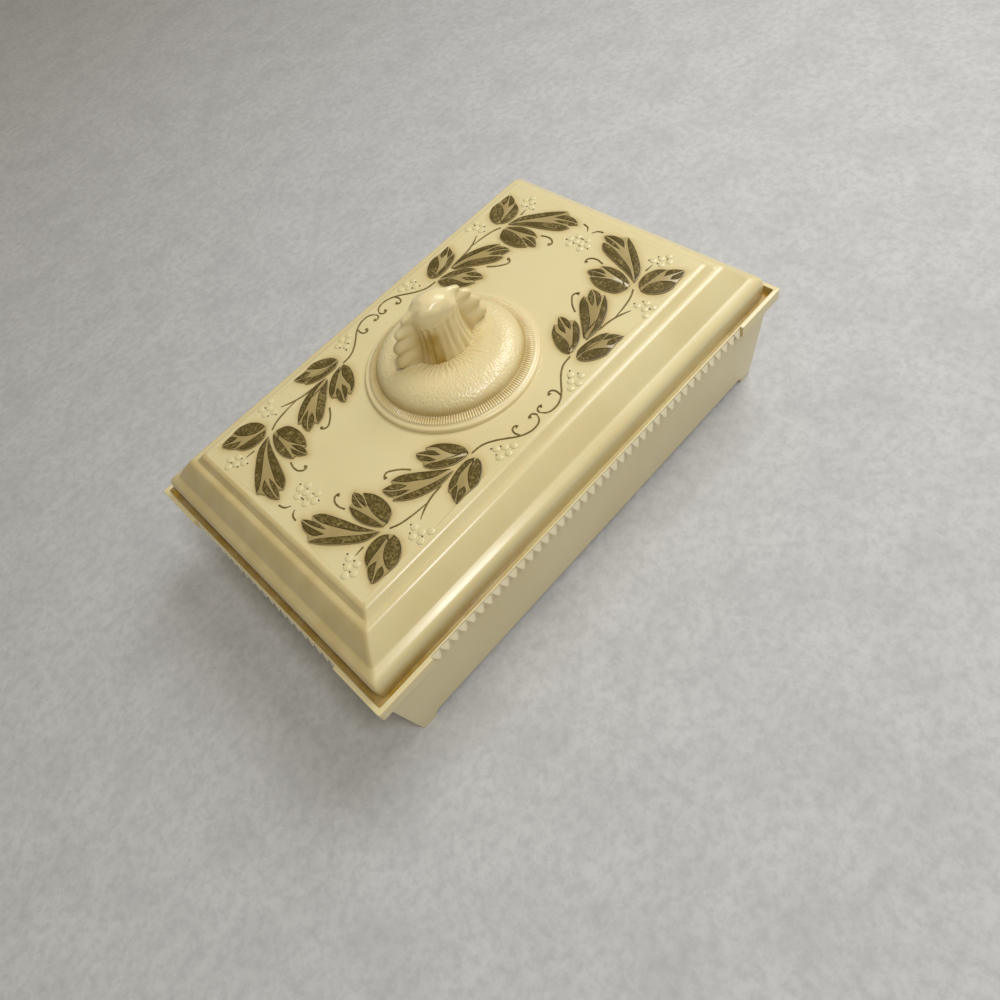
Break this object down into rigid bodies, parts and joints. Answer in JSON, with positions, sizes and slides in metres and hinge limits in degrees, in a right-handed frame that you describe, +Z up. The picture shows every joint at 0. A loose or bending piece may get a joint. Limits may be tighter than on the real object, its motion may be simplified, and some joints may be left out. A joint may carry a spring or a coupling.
{
  "type": "trinket box",
  "caption": "Rectangular footed trinket box of moulded plastic with a toothed rim, a mitred lift-off lid and a shell-shaped finial as its grip.",
  "frame": {"origin": "on the table, under the middle of the tray", "axes": "+X along the long side, +Y towards the back long side, +Z up"},
  "size_m": [0.152, 0.098, 0.0696],
  "materials": {
    "ivory_tray": "moulded ivory plastic, satin gloss",
    "ivory_lid": "moulded ivory plastic, polished, with bronze-painted leaf relief",
    "pearl_finial": "moulded ivory plastic with a pearly gloss",
    "brass_hardware": "plain turned brass"
  },
  "bodies": {
    "tray": {"base_tray": "ivory_tray"},
    "lid": {"lid": "ivory_lid", "shell_finial": "pearl_finial", "finial_washer": "brass_hardware", "finial_screw": "brass_hardware"}
  },
  "joints": [
    {"name": "lid_lift", "type": "slide", "parent": "tray", "child": "lid", "axis": [0, 0, 1], "range_m": [0, 0.06]}
  ]
}
